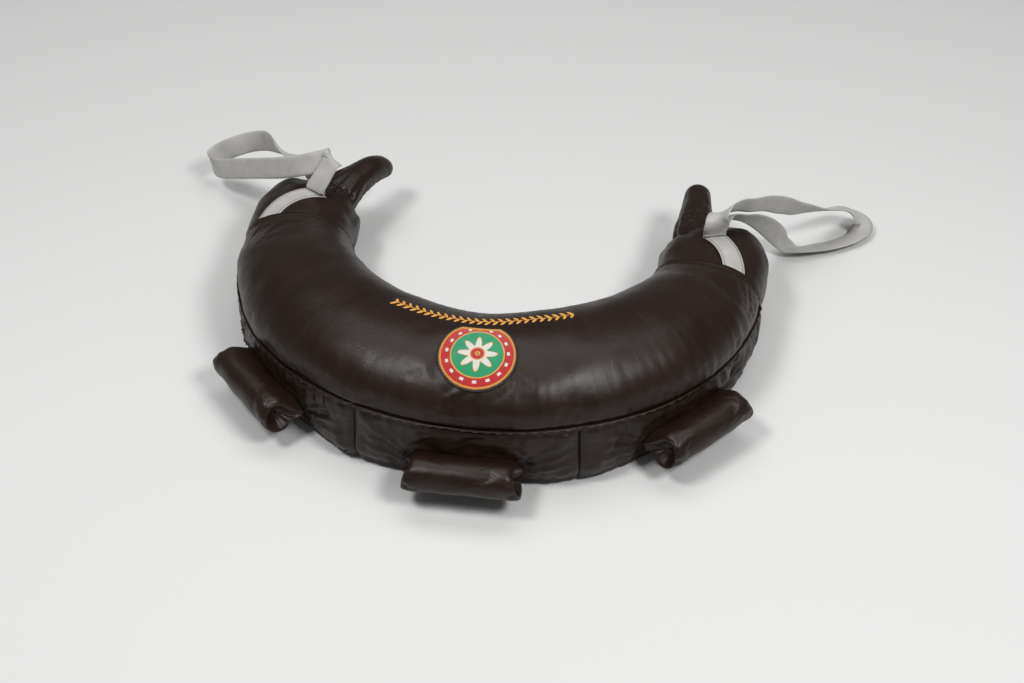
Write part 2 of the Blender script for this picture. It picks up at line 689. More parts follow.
BOTTOM_ROWS = 40
BOTTOM_STEP = 0.004
place, grid = skin_grid(places_between(-top_end, top_end, BOTTOM_STEP), clustered(2.0, 3.0, BOTTOM_ROWS))
down = walked(grid, 1)
edge = np.minimum(down, down[:, -1:] - down)
lift = 0.0004 * (1 + lumps(grid, 40.0)) * np.clip((edge - 0.012) / 0.01, 0, 1)
grid[..., 2] += np.maximum(lift, 0)
bottom_panel = hide_piece("bottom_panel_hide", grid, COWHIDE, np.stack([place, down], -1))
keep_hide(bottom_panel)
dress(bottom_panel, "bag", "bottom_panel")


# The end cuffs
# Each end of the tube is a separate cap of hide, a little smaller than the body, tucked under the
# body's edge. Its mouth is gathered round the root of the horn.

SIDES = ((-1, "left"), (1, "right"))
CUFF_STEP = 0.0015
CUFF_BOTTOM_START = 0.0025
CUFF_BOTTOM_END = 0.018
CUFF_BOTTOM_POWERS = (3.0, 2.2)
CUFF_POINTS = 168
CUFF_ROUND = 0.010
MOUTH_RADIUS = 0.0146
HORN_HEIGHT = 0.069
CUFF_SHOULDER = 0.008
HORN_INSET = 0.012
GATHERS = 15
GATHER_HEIGHT = 0.0013
# The rows tucked under the body's edge: how far along from it, and how deep
CUFF_TUCKS = ((-0.0045, 0.0024), (-0.0012, 0.0020))
CUFF_ROW_STEP = 0.0022
CUFF_MOST = 0.0012


def cuff_point(place, angle, inset=0.0):
    """(out, up) on a cuff; from 0 to pi the angle runs over the crown, and on to 2 pi underneath."""
    width, height, seam = sizes(place)
    share = np.clip((np.abs(place) - SEAM_PLACE) / (HALF_LENGTH - SEAM_PLACE), 0, 1)
    width = width - CUFF_STEP - inset
    low = CUFF_BOTTOM_START + (CUFF_BOTTOM_END - CUFF_BOTTOM_START) * share**2
    under = 2 / (CUFF_BOTTOM_POWERS[0] + (CUFF_BOTTOM_POWERS[1] - CUFF_BOTTOM_POWERS[0]) * share)
    top = angle <= math.pi
    exponent = np.where(top, 2 / CROWN_POWER, under)
    reach = np.where(top, height - seam - CUFF_STEP - inset, seam - low - inset)
    shoulder = CUFF_SHOULDER * np.sin(share * math.pi / 2) * (1 + np.cos(angle)) / 2
    return shoulder + width * power(np.cos(angle), exponent), seam + reach * power(np.sin(angle), exponent)


def make_cuff(side, where):
    """A cuff in rows: tucked under the body, over the end, round into its mouth and in to the horn."""
    angles = np.linspace(0, 2 * math.pi, CUFF_POINTS, endpoint=False)
    start, turn_in = SEAM_PLACE + SEAM_GAP / 2, HALF_LENGTH - CUFF_ROUND
    rows = [(start + far, depth, 0.0) for far, depth in CUFF_TUCKS]
    rows += [(far, 0.0, 0.0) for far in places_between(start, turn_in, CUFF_ROW_STEP)]
    for turn in np.linspace(0, math.pi / 2, 8)[1:]:
        rows.append((turn_in + CUFF_ROUND * math.sin(turn) * 0.7, CUFF_ROUND * (1 - math.cos(turn)), 0.0))
    rows += [(turn_in + CUFF_ROUND * 0.7, CUFF_ROUND, share) for share in np.linspace(0, 1, 16)[1:]]
    mouth_out = -HORN_INSET + MOUTH_RADIUS * np.cos(angles)
    mouth_up = HORN_HEIGHT + MOUTH_RADIUS * np.sin(angles)
    grid = []
    for far, inset, share in rows:
        out, up = cuff_point(np.full_like(angles, side * min(far, HALF_LENGTH)), angles, inset)
        far = far + 0.0035 * math.sin(math.pi * share * 0.8)
        grid.append(at(side * far, out + (mouth_out - out) * share, up + (mouth_up - up) * share))
    grid = np.array(grid)
    normal = normals_of(grid, True)
    turned = -1 if np.sum(normal[0] * (grid[0] - grid[0].mean(0))) < 0 else 1
    normal = normal * turned
    facing = slice(None, None, turned)
    down = walked(grid, 0)
    to_mouth = down[-1:] - down
    phase = GATHERS * angles + 1.2 * np.sin(2 * angles) + 0.5 * np.sin(5 * angles + side)
    shift = GATHER_HEIGHT * np.sin(phase) * np.exp(-to_mouth / 0.020)
    shift += 0.0007 * np.sin(phase * 0.55 + 1) * np.exp(-((to_mouth - 0.035) / 0.022) ** 2)
    shift += 0.0010 * lumps(grid, 26.0, 4.0) + 0.0004 * lumps(grid, 70.0, 9.0)
    shift *= 1 - bell(down, 0.004)
    held = np.clip(np.maximum(bell(down, 0.006), bell(to_mouth, 0.010)), 0.05, 1)
    held[[0, 1, -1]] = 1
    grid = settled(grid[facing], held[facing], 0.0, CUFF_MOST, True)[facing]
    grid = grid + normal * shift[..., None]
    uv = np.stack([down, np.broadcast_to(angles * 0.05, down.shape)], -1)
    cuff = hide_piece(f"end_cuff_hide_{where}", grid[facing], COWHIDE, uv[facing], closed=True)
    keep_hide(cuff)
    dress(cuff, "bag", f"end_cuff_{where}")


for side, where in SIDES:
    make_cuff(side, where)


# The filling
# Pressed wool laid round three canvas bags of sand, with a plug of wool in each cuff. It gives the
# bag its weight and its hard, even crown.

WOOL_COLOURS = ((0.50, 0.43, 0.33, 1), (0.66, 0.60, 0.50, 1))
CANVAS_COLOURS = ((0.33, 0.27, 0.18, 1), (0.50, 0.42, 0.30, 1))
WOOL_INSET = 0.006
WOOL_WALL = 0.0085
SAND_INSET = 0.0155
SLEEVE_SETBACK = 0.0096
SAND_BAG_SETBACK = 0.0156
SAND_BAG_JOIN = ARC_RADIUS * math.radians(26.2)
PLUG_START_SETBACK = 0.009
PLUG_END_SETBACK = 0.0225
PLUG_SHARES = ((0.0, 0.74), (0.12, 0.88), (0.3, 0.92), (0.6, 0.92), (0.85, 0.87), (1.0, 0.66))
PILLOW_SHARES = ((0.0, 0.55), (0.03, 0.84), (0.10, 0.97), (0.5, 1.0), (0.90, 0.97), (0.97, 0.84), (1.0, 0.55))
FILLING_CORNER = 0.55
FILLING_POINTS = 64
SAND_JOIN_GAP = 0.002
SLEEVE_STEP = 0.008
SAND_BAG_ROWS = 48
PLUG_ROWS, PLUG_POINTS = 20, 48


def fibrous(name, colours, scale, stretch):
    """Loose pressed fibres: long streaks of noise in two colours, with a felted surface."""
    finish, add, coat = material(name)
    place = add("ShaderNodeTexCoord").outputs["Object"]
    drawn = add("ShaderNodeMapping", {"Vector": place, "Scale": stretch}).outputs[0]
    fibres = noisy(add, drawn, scale, 8.0, 0.7, 1.2)
    coat({
        "Base Color": shaded(add, fibres, *colours, 0.35, 0.65), "Roughness": 0.95,
        "Specular IOR Level": 0.15, "Normal": bumped(add, fibres, 0.6, 0.0012),
    })
    return finish


def maths(add, operation, *values):
    """The result of a Math node on values or links."""
    return add("ShaderNodeMath", dict(enumerate(values)), operation=operation).outputs[0]


def canvas(name, pitch):
    """Plain weave: threads over and under each other, with slubs."""
    finish, add, coat = material(name)
    place = add("ShaderNodeTexCoord").outputs["Object"]
    waves = {"Vector": place, "Scale": 0.314 / pitch, "Distortion": 0.4}
    threads = [add("ShaderNodeTexWave", waves, bands_direction=way).outputs["Fac"] for way in "XY"]
    weave = maths(add, "MAXIMUM", *threads)
    tone = add("ShaderNodeMix", {0: 0.5, "A": weave, "B": noisy(add, place, 140.0, 4.0)}).outputs[0]
    coat({
        "Base Color": shaded(add, tone, *CANVAS_COLOURS), "Roughness": 0.9,
        "Normal": bumped(add, weave, 0.5, 0.0004),
    })
    return finish


def stuffed_piece(name, grid, finish, replaced, body, seat=None):
    """A closed body from rings, capped at both ends."""
    rows, columns = grid.shape[:2]
    hubs = np.stack([grid[0].mean(0), grid[-1].mean(0)])
    points = np.concatenate([grid.reshape(-1, 3), hubs])
    faces = grid_faces(rows, columns, True).tolist()
    first, last = rows * columns, rows * columns + 1
    end = first - columns
    for k in range(columns):
        after = (k + 1) % columns
        faces += [[k, after, first], [end + after, end + k, last]]
    spot = grid[rows // 2]
    if np.sum(normals_of(grid, True)[rows // 2] * (spot - spot.mean(0))) < 0:
        faces = [face[::-1] for face in faces]
    dress(mesh_piece(name, points, faces, finish), body, replaced, seat)


def filling_grid(places, inset, sizing=1.0):
    """Rings inside the leather: crown above, rounded box below."""
    angles = np.linspace(0, 2 * math.pi, FILLING_POINTS, endpoint=False)
    place, angle = np.meshgrid(places, angles, indexing="ij")
    width, height, seam = sizes(place)
    low = HIDE + inset
    out, up = crown_point(place, np.minimum(angle, math.pi), low)
    below = angle > math.pi
    wide = width * BOTTOM_WIDTH_SHARE - HIDE - inset
    out = np.where(below, wide * power(np.cos(angle), FILLING_CORNER), out)
    up = np.where(below, seam + (seam - low) * power(np.sin(angle), FILLING_CORNER), up)
    hub = (height + low) / 2
    return at(place, out * sizing, hub + (up - hub) * sizing)


WOOL = fibrous("pressed_wool", WOOL_COLOURS, 90.0, (1.0, 1.0, 3.0))
SAND_CANVAS = canvas("sand_bag_canvas", 0.0014)

sleeve_end = SEAM_PLACE - SLEEVE_SETBACK
grid = filling_grid(places_between(-sleeve_end, sleeve_end, SLEEVE_STEP), WOOL_INSET)
grid = grid + normals_of(grid, True) * (0.0006 * lumps(grid, 60.0, 7.0))[..., None]
turns = np.broadcast_to(np.linspace(0, 0.4, FILLING_POINTS), grid.shape[:2])
uv = np.stack([walked(grid, 0), turns], -1)
sleeve = hide_piece("wool_sleeve_felt", grid, WOOL, uv, WOOL_WALL, closed=True)
dress(sleeve, "bag", "wool_sleeve")

sand_end = SEAM_PLACE - SAND_BAG_SETBACK
SAND_JOINS = (-sand_end, -SAND_BAG_JOIN, SAND_BAG_JOIN, sand_end)
for k, where in enumerate(("left", "centre", "right")):
    share = np.linspace(0, 1, SAND_BAG_ROWS)
    span = SAND_JOINS[k + 1] - SAND_JOINS[k] - SAND_JOIN_GAP
    places = SAND_JOINS[k] + SAND_JOIN_GAP / 2 + span * share
    grid = filling_grid(places, SAND_INSET, smooth_share(PILLOW_SHARES, share)[:, None])
    grid = grid + normals_of(grid, True) * (0.0005 * lumps(grid, 40.0, 11.0 + k) - 0.0005)[..., None]
    stuffed_piece(f"sand_bag_cloth_{where}", grid, SAND_CANVAS, f"sand_bag_{where}", "bag")

for side, where in SIDES:
    share = np.linspace(0, 1, PLUG_ROWS)
    first, last = SEAM_PLACE - PLUG_START_SETBACK, HALF_LENGTH - PLUG_END_SETBACK
    angles = np.linspace(0, 2 * math.pi, PLUG_POINTS, endpoint=False)
    place, angle = np.meshgrid(side * (first + (last - first) * share), angles, indexing="ij")
    sizing = smooth_share(PLUG_SHARES, share)[:, None]
    out, up = cuff_point(place, angle, HIDE)
    hub = sizes(place)[1] / 2
    grid = at(place, out * sizing, hub + (up - hub) * sizing)
    stuffed_piece(f"wool_plug_felt_{where}", grid, WOOL, f"wool_plug_{where}", "bag")


# The horns
# A stuffed roll of hide at each end of the bag, held by its root: broad and gathered where it leaves
# the cuff, tapering to a rounded tip, with one seam low on its inner side.

HORN_LENGTH = 0.094
HORN_WIDTH = 0.0185
HORN_STAND_OFF = 0.006
HORN_SINK = 0.004
HORN_CORE_SHARE = 0.74
# Along the horn, a share of its length, then shares of its width: half width, half height, outward shift
HORN_SHAPE = (
    (-0.10, 1.56, 0.98, 0.30), (0.06, 1.38, 0.96, 0.20), (0.19, 1.17, 0.94, 0.09), (0.34, 1.00, 0.89, 0.03),
    (0.49, 0.92, 0.84, 0.0), (0.62, 0.85, 0.80, 0.0), (0.75, 0.77, 0.74, 0.0), (1.0, 0.62, 0.60, 0.0),
)
HORN_TURNS = {"left": math.radians(25.0), "right": math.radians(1.0)}
HORN_DROOPS = {"left": math.radians(5.0), "right": math.radians(0.0)}
HORN_BOWS = {"left": 0.010, "right": 0.002}
HORN_ROWS = 80
HORN_POINTS = 72
HORN_TIP = 0.016
# Where the seam runs round the horn
HORN_SEAM_TURN = math.radians(218.0)
HORN_SWELL, HORN_MOST = 0.004, 0.0018
HORN_HIDE = 0.0016
# How far from the root a horn bends with the bag, and takes up its own direction
HORN_SEAT, HORN_BLEND = 0.022, 0.024
HORN_GATHERS, HORN_GATHER_HEIGHT = 12, 0.0014


def joint_place(name):
    """Where a joint of the frame sits."""
    return np.array(next(joint["pos_m"] for joint in frame["joints"] if joint["name"] == name))


def make_horn(side, where):
    """A horn from rings along its bent middle line, with its stuffing inside it."""
    hub = joint_place(f"horn_{where}_bend")
    hub[2] = HORN_HEIGHT
    root = middle(side * HALF_LENGTH)[1] * side
    turn, droop = HORN_TURNS[where], HORN_DROOPS[where]
    level = math.cos(droop)
    along = np.array((-side * math.sin(turn) * level, math.cos(turn) * level, -math.sin(droop)))
    reach = np.linspace(-HORN_STAND_OFF - HORN_SINK, HORN_LENGTH - HORN_TIP, HORN_ROWS)
    round_tip = 1 - np.sin(np.linspace(0, math.pi / 2, 16)[1:])
    reach = np.concatenate([reach, HORN_LENGTH - HORN_TIP * round_tip])
    shares, *columns = np.array(HORN_SHAPE).T
    tables = [np.stack([shares, column], -1) for column in columns]
    wide, tall, out = (smooth_share(table, reach / HORN_LENGTH) for table in tables)
    tip = np.clip((reach - HORN_LENGTH + HORN_TIP) / HORN_TIP, 0, 1)
    close = np.maximum(1 - tip**2.3, 0.0004) ** (1 / 2.1)
    bow = HORN_BOWS[where] * np.sin(math.pi * np.clip(reach / HORN_LENGTH, 0, 1)) ** 0.8
    angles = np.linspace(0, 2 * math.pi, HORN_POINTS, endpoint=False)
    grid, core = [], []
    for k, far in enumerate(reach):
        blend = min(max((far + HORN_STAND_OFF) / HORN_BLEND, 0), 1)
        way = root * (1 - blend) + along * blend
        way /= np.linalg.norm(way)
        across = np.cross(way, (0, 0, side))
        across /= np.linalg.norm(across)
        upward = np.cross(across, way) * side
        centre = hub + (root if far < 0 else along) * far + across * out[k] * HORN_WIDTH + upward * bow[k]
        ring = np.outer(np.cos(angles) * wide[k], across) + np.outer(np.sin(angles) * tall[k], upward)
        ring = ring * HORN_WIDTH * close[k]
        grid.append(centre + ring)
        if far > -HORN_STAND_OFF and tip[k] < 0.55 and k % 4 == 0:
            core.append(centre + ring * HORN_CORE_SHARE)
    seat = hub - root * HORN_STAND_OFF, hub + along * HORN_SEAT
    body = f"horn_{where}"
    stuffed_piece(f"horn_wool_{where}", np.array(core), WOOL, f"horn_core_{where}", body, seat)
    held = np.clip(np.exp(-np.maximum(reach + 0.010, 0) / 0.006) + (tip > 0.8), 0.1, 1)
    held = np.repeat(held[:, None], HORN_POINTS, 1)
    facing = slice(None, None, -side)
    grid = settled(np.array(grid)[facing], held[facing], HORN_SWELL, HORN_MOST, True)[facing]
    normal = normals_of(grid, True) * -side
    far = reach[:, None]
    phase = HORN_GATHERS * angles + 1.0 * np.sin(3 * angles) + 40 * far
    shift = HORN_GATHER_HEIGHT * np.exp(-np.maximum(far + 0.006, 0) / 0.020) * np.sin(phase)
    off = np.abs((angles - HORN_SEAM_TURN + math.pi) % (2 * math.pi) - math.pi) * HORN_WIDTH * 0.85
    fade = np.clip((far - 0.010) / 0.01, 0, 1) * np.clip((HORN_LENGTH - 0.004 - far) / 0.01, 0, 1)
    shift += fade * (0.0009 * bell(off, 0.0012) - 0.0009 * bell(off - 0.0028, 0.0016))
    shift += fade * 0.0005 * np.exp(-off / 0.007) * np.sin(2 * math.pi * far / 0.011 + 3 * off / 0.01)
    shift += 0.0008 * lumps(grid, 40.0, 2.0 + side)
    uv = np.stack([walked(grid, 0), np.broadcast_to(angles * 0.02, shift.shape)], -1)
    grid = grid + normal * shift[..., None] * close[:, None, None]
    horn = hide_piece(f"horn_hide_{where}", grid[facing], COWHIDE, uv[facing], HORN_HIDE, closed=True)
    dress(horn, body, f"horn_cover_{where}", seat)


for side, where in SIDES:
    make_horn(side, where)


# The grips
# Three rolls of hide round a foam core, each sewn by a flange along the outer band. The open ends of
# a roll are tucked in, and its flange is gathered down at both ends.

GRIP_RADIUS = 0.0180
GRIP_REACH = 0.0225
GRIP_DROP = 0.004
GRIP_HIDE = 0.0016
GRIP_GATHER = 0.015
GRIP_CORE_RADIUS = 0.0140
GRIP_CORE_SETBACK = 0.012
# The points round a grip's section: its roll, then up the flange, over the root and down again
GRIP_ROLL_POINTS, GRIP_WEB_POINTS, GRIP_ROOT_POINTS = 66, 12, 6
# The tucked end: share of the section's size, then depth
GRIP_TUCK_SHARES = (
    (0.90, 0.0002), (0.80, 0.0010), (0.68, 0.0026), (0.54, 0.0048), (0.38, 0.0068),
    (0.22, 0.0080), (0.05, 0.0084),
)
FOAM_COLOURS = ((0.020, 0.020, 0.022, 1), (0.055, 0.055, 0.060, 1))
FOAM = fibrous("closed_cell_foam", FOAM_COLOURS, 700.0, (1.0, 1.0, 1.0))
GRIP_HUB = np.array((GRIP_REACH, -GRIP_DROP))
GRIP_ROOT_RADIUS = 0.0018
GRIP_ROWS, FOAM_ROWS, FOAM_POINTS = 76, 12, 40
GRIP_SWELL, GRIP_MOST = 0.003, 0.0012


def grip_section(root_back):
    """A drop-shaped section as (outward, up) from the hinge line: the roll and its flange."""
    root = np.array((-root_back, 0.0))
    span = np.linalg.norm(root - GRIP_HUB)
    open_angle = math.acos((GRIP_RADIUS - GRIP_ROOT_RADIUS) / span)
    toward = math.atan2(*(root - GRIP_HUB)[::-1])
    turns = toward + open_angle + np.linspace(0, 2 * math.pi - 2 * open_angle, GRIP_ROLL_POINTS)
    roll = GRIP_HUB + GRIP_RADIUS * np.stack([np.cos(turns), np.sin(turns)], -1)
    turns = toward + open_angle * np.linspace(-1, 1, GRIP_ROOT_POINTS)
    tip = root + GRIP_ROOT_RADIUS * np.stack([np.cos(turns), np.sin(turns)], -1)
    steps = np.linspace(0, 1, GRIP_WEB_POINTS + 2)[1:-1, None]
    web = roll[-1] + (tip[0] - roll[-1]) * steps
    back = tip[-1] + (roll[0] - tip[-1]) * steps
    return np.concatenate([roll, web, tip, back])


def grip_row(hinge, shift):
    """One ring of a grip's cover as (along, outward, up) from the hinge, before its end is tucked.

    Its root lies back by as much as the round band falls behind the straight hinge."""
    section = grip_section(shift**2 / (2 * math.hypot(hinge[0], hinge[1] - ARC_RADIUS)))
    offset = section - GRIP_HUB
    near = max(0, 1 - (GRIP_HALF - abs(shift)) / GRIP_GATHER)
    flange = np.clip((np.linalg.norm(offset, axis=1) - GRIP_RADIUS) / 0.006, 0, 1)
    size = 1 - 0.16 * near**3
    rolled = GRIP_HUB + offset * size - np.array((0.0, 0.0012)) * near**2
    sewn = section - np.array((0.0, 0.011)) * near**2
    placed = rolled * (1 - flange[:, None]) + sewn * flange[:, None]
    lean = -0.0045 * near**1.5 * offset[:, 1] / GRIP_RADIUS * (1 - flange) + 0.003 * near**2 * flange
    return np.column_stack([shift + math.copysign(1, shift) * lean, placed])


def make_grip(body):
    """A grip from rings along its hinge, tucked in at both ends, with its foam inside it."""
    hinge, along, outward = GRIPS[body]
    where = body.removeprefix("grip_")
    frame_ways = np.array((along, outward, (0, 0, 1)))
    turns = np.linspace(0, 2 * math.pi, FOAM_POINTS, endpoint=False)
    foam = []
    for share in clustered(-1, 1, FOAM_ROWS, 0.9):
        radius = GRIP_CORE_RADIUS * (1 - 0.18 * abs(share) ** 12)
        shift = np.full_like(turns, share * (GRIP_HALF - GRIP_CORE_SETBACK))
        ring = np.stack([shift, GRIP_REACH + radius * np.cos(turns), radius * np.sin(turns) - GRIP_DROP], -1)
        foam.append(hinge + ring @ frame_ways)
    stuffed_piece(f"grip_foam_{where}", np.array(foam), FOAM, f"grip_core_{where}", body)

    shares = clustered(-1, 1, GRIP_ROWS, 0.7)
    rows = [grip_row(hinge, share * GRIP_HALF) for share in shares]
    insides = [GRIP_HALF * (1 - abs(share)) for share in shares]
    for end in (0, -1):
        rim = rows[end]
        centre = np.array((rim[:, 0].mean(), *GRIP_HUB))
        inward = np.array((-math.copysign(1, centre[0]), 0, 0))
        tucks = [centre + (rim - centre) * size + inward * depth for size, depth in GRIP_TUCK_SHARES]
        edge = [0.0] * len(tucks)
        rows = rows + tucks if end else tucks[::-1] + rows
        insides = insides + edge if end else edge + insides
    local = np.array(rows)
    grid = hinge + local @ frame_ways
    inside = np.repeat(np.array(insides)[:, None], grid.shape[1], 1)
    halfway = len(rows) // 2
    from_hub = grid[halfway] - hinge - np.array((0, *GRIP_HUB)) @ frame_ways
    if np.sum(normals_of(grid, True)[halfway] * from_hub) < 0:
        grid, inside, local = grid[::-1], inside[::-1], local[::-1]
    shift_along, from_roll = local[..., 0], np.hypot(local[..., 1] - GRIP_REACH, local[..., 2] + GRIP_DROP)
    flange = np.clip((from_roll - GRIP_RADIUS) / 0.004, 0, 1)
    held = np.clip(np.maximum(flange, bell(inside, 0.003)), 0.02, 1)
    grid = settled(grid, held, GRIP_SWELL, GRIP_MOST, True)
    around = np.linspace(0, 2 * math.pi, grid.shape[1], endpoint=False)
    shift = 0.0005 * lumps(grid, 30.0, hinge[0] * 10)
    folds = np.sin(7 * around + 1.6 * np.sin(2 * around + hinge[0] * 30) + 60 * shift_along)
    shift += 0.0006 * folds * np.exp(-inside / 0.008) * np.clip(inside / 0.003 + 0.3, 0, 1)
    crease = bell((around - 2.3 + 22 * inside + math.pi) % (2 * math.pi) - math.pi, 0.16)
    shift -= 0.0016 * crease * np.clip(inside / 0.004, 0, 1) * np.exp(-inside / 0.013)
    shift += 0.0004 * np.sin(2 * math.pi * shift_along / 0.034 + 2 * around) * np.exp(-inside / 0.04)
    grid = grid + normals_of(grid, True) * shift[..., None]
    uv = np.stack([shift_along, np.broadcast_to(around * 0.02, inside.shape)], -1)
    grip = hide_piece(f"grip_hide_{where}", grid, COWHIDE, uv, GRIP_HIDE, closed=True)
    dress(grip, body, f"grip_cover_{where}")


for body in GRIPS:
    make_grip(body)


# The webbing
# Silver-grey woven webbing, 25 mm wide. A length is sewn over each cuff by a line of dark stitches
# along both edges, and a loop hangs from its end.

WEB_WIDTH = 0.025
WEB_THICKNESS = 0.0018
WEB_LAYER_GAP = 0.0008
FIT_GAP = 0.0004
WEB_COLOUR = (0.44, 0.43, 0.41, 1)
WEB_SHADE = (0.20, 0.195, 0.185, 1)
WEAVE_PITCH = 0.0016
WARP_PITCH = 0.0011


def webbing(name):
    """Twill weave: slanted ribs each way from the middle, with a plain edge."""
    finish, add, coat = material(name)
    surface = add("ShaderNodeUVMap", uv_map="surface").outputs["UV"]
    length, across, _ = add("ShaderNodeSeparateXYZ", {0: surface}).outputs
    slant = maths(add, "ADD", length, maths(add, "ABSOLUTE", across))
    rib = maths(add, "SINE", maths(add, "MULTIPLY", slant, 2 * math.pi / WEAVE_PITCH))
    warp = maths(add, "SINE", maths(add, "MULTIPLY", across, 2 * math.pi / WARP_PITCH))
    woven = maths(add, "MULTIPLY_ADD", warp, 0.6, rib)
    height = add("ShaderNodeMapRange", {0: woven, 1: -1.6, 2: 1.6}).outputs[0]
    tone = add("ShaderNodeMix", {0: 0.30, "A": height, "B": noisy(add, surface, 900.0)}).outputs[0]
    soiled = add("ShaderNodeMix", {0: 0.35, "A": tone, "B": noisy(add, surface, 60.0, 4.0)}).outputs[0]
    coat({
        "Base Color": shaded(add, soiled, WEB_SHADE, WEB_COLOUR, 0.25, 0.62), "Roughness": 0.55,
        "Sheen Weight": 0.25, "Specular IOR Level": 0.35, "Normal": bumped(add, tone, 0.5, 0.0003),
    })
    return finish


WEB = webbing("silver_webbing")


def webbing_piece(name, top, under, walk, steps, closed):
    """A length of webbing from its upper and under side, closed into a loop or capped at both ends."""
    rings = np.concatenate([top, under[:, ::-1]], 1)
    if closed:
        rings = np.concatenate([rings, rings[:1]])
    rows, count = rings.shape[:2]
    uv = np.stack(np.meshgrid(walk, np.concatenate([steps, steps[::-1]]) * WEB_WIDTH, indexing="ij"), -1)
    faces = grid_faces(rows, count, True).tolist()
    if not closed:
        faces += [list(range(count))[::-1], list(range((rows - 1) * count, rows * count))]
    return mesh_piece(name, rings.reshape(-1, 3), faces, WEB, uv.reshape(-1, 2))


ANCHOR_START = 0.0015
ANCHOR_START_OFFSETS = {"left": 0.031, "right": 0.026}
ANCHOR_BOWS = {"left": 0.007, "right": 0.003}
ANCHOR_END = 0.051
ANCHOR_END_OFFSETS = {"left": -0.012, "right": 0.0}
LOOP_RISE = 0.003
LOOP_REACH = 0.200
LOOP_WAYS = {"left": (0.90, -0.43, 0.0), "right": (0.93, 0.36, 0.0)}
LOOP_STEPS = 9
ANCHOR_ROWS, ANCHOR_COLUMNS, LOOP_COLUMNS = 40, 13, 9


def over_cuff(side, spots, lift):
    """The points above a cuff's crown that lie over spots of the plan."""
    point, _, outward = middle(side * SEAM_PLACE)
    hub = point - outward * CUFF_ARC_RADIUS
    radial = spots - hub
    radial[..., 2] = 0
    far = np.linalg.norm(radial, axis=-1)
    place = SEAM_PLACE + CUFF_ARC_RADIUS * (np.arctan2(side * radial[..., 0], -radial[..., 1]) - ARC_TURN)
    width, height, seam = sizes(place)
    width, height = width - CUFF_STEP, height - CUFF_STEP
    along = np.clip((place - SEAM_PLACE) / (HALF_LENGTH - SEAM_PLACE), 0, 1)
    shoulder = CUFF_SHOULDER * np.sin(along * math.pi / 2)
    out = far - CUFF_ARC_RADIUS
    share = np.clip(np.abs((out - shoulder / 2) / (width + shoulder / 2)), 0, 1)
    spots = spots.copy()
    spots[..., 2] = seam + (height - seam) * (1 - share**CROWN_POWER) ** (1 / CROWN_POWER) + lift
    return spots


def anchor_route(side, where, t):
    """The middle line of an anchor in plan and the way across it, at shares t of its length."""
    start, end = ANCHOR_START_OFFSETS[where], ANCHOR_END_OFFSETS[where]
    offset = start + (end - start) * t + ANCHOR_BOWS[where] * 4 * t * (1 - t)
    spots = at(side * (SEAM_PLACE + ANCHOR_START + (ANCHOR_END - ANCHOR_START) * t), offset, 0.0)
    first = middle(side * SEAM_PLACE)[2] * side
    last = np.array(LOOP_WAYS[where]) / np.linalg.norm(LOOP_WAYS[where])
    ways = first + (last - first) * t[:, None]
    return spots, ways / np.linalg.norm(ways, axis=1)[:, None]


def make_anchor(side, where):
    """A length of webbing that lies over a cuff."""
    spots, ways = anchor_route(side, where, np.linspace(0, 1, ANCHOR_ROWS))
    steps = np.linspace(-0.5, 0.5, ANCHOR_COLUMNS)
    flat = spots[:, None] + ways[:, None] * (steps * WEB_WIDTH)[:, None]
    top, under = (over_cuff(side, flat, lift) for lift in (FIT_GAP + WEB_THICKNESS, FIT_GAP))
    walk = walked(top, 0)[:, ANCHOR_COLUMNS // 2]
    anchor = webbing_piece(f"anchor_webbing_{where}", top, under, walk, steps, False)
    dress(anchor, "bag", f"strap_anchor_{where}")


# The route of each loop, from its seat on the anchor: a place, then the way across the webbing.
# Places are shares of the reach.
LEFT_LOOP_SHARES = (
    ((0.030, 0.025, 0.070), (0.90, -0.43, -0.02)),
    ((0.070, 0.080, 0.140), (0.89, -0.46, -0.04)),
    ((0.080, 0.095, 0.150), (0.93, -0.22, -0.30)),
    ((0.082, 0.112, 0.150), (0.77, -0.17, -0.62)),
    ((0.073, 0.126, 0.142), (0.50, -0.31, -0.80)),
    ((0.055, 0.126, 0.136), (0.28, -0.58, -0.76)),
    ((-0.02, 0.11, 0.115), (0.18, -0.58, -0.79)),
    ((-0.12, 0.11, 0.08), (0.13, -0.57, -0.81)),
    ((-0.27, 0.17, 0.00), (0.13, -0.57, -0.81)),
    ((-0.49, 0.32, -0.14), (0.13, -0.57, -0.81)),
    ((-0.68, 0.45, -0.26), (0.13, -0.50, -0.83)),
    ((-0.82, 0.53, -0.33), (0.15, -0.35, -0.90)),
    ((-0.89, 0.60, -0.34), (0.20, -0.10, -0.97)),
    ((-0.86, 0.65, -0.32), (0.30, -0.25, -0.90)),
    ((-0.77, 0.67, -0.27), (0.35, -0.45, -0.82)),
    ((-0.64, 0.67, -0.21), (0.36, -0.55, -0.75)),
    ((-0.52, 0.62, -0.15), (0.38, -0.52, -0.77)),
    ((-0.41, 0.51, -0.09), (0.48, -0.25, -0.82)),
    ((-0.31, 0.37, -0.03), (0.60, 0.25, -0.70)),
    ((-0.20, 0.26, 0.03), (0.68, 0.50, -0.20)),
    ((-0.12, 0.20, 0.05), (0.76, 0.38, 0.28)),
    ((-0.05, 0.14, 0.035), (0.84, 0.18, 0.42)),
    ((-0.01, 0.08, 0.03), (0.90, -0.05, 0.30)),
    ((0.003, 0.035, 0.025), (0.90, -0.38, 0.05)),
)
